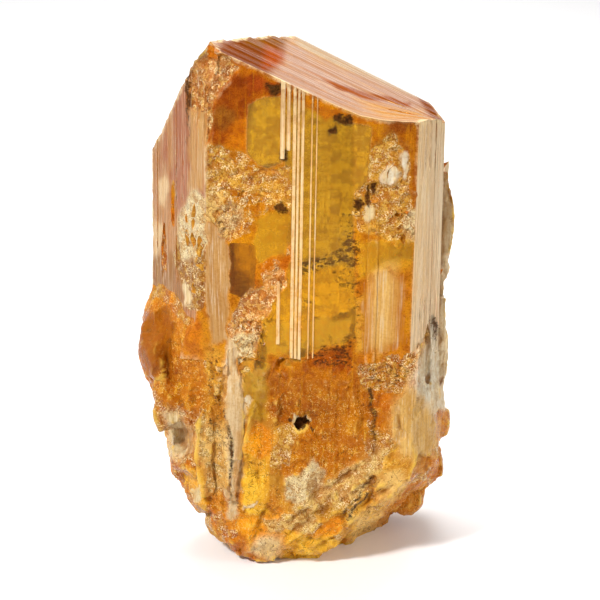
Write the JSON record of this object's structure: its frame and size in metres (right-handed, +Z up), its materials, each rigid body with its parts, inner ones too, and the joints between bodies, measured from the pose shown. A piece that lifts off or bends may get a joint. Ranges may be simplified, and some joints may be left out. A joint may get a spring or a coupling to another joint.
{
  "type": "topaz crystal",
  "caption": "Rough topaz crystal: striated golden prism with a sloping striated end face, a broken lumpy orange base and clear windows in the front face.",
  "frame": {"origin": "bottom centre of the crystal's bounding box, on the flat cut it rests on", "axes": "+Z up along the prism, -Y out of the wide front prism face, +X towards the low end of the sloping end face"},
  "size_m": [0.023, 0.0112, 0.0402],
  "materials": {
    "topaz": "clear to cloudy golden orange crystal, glossy on the growth faces, rough on the broken faces"
  },
  "bodies": {
    "root": {"topaz_crystal": "topaz"}
  },
  "joints": []
}
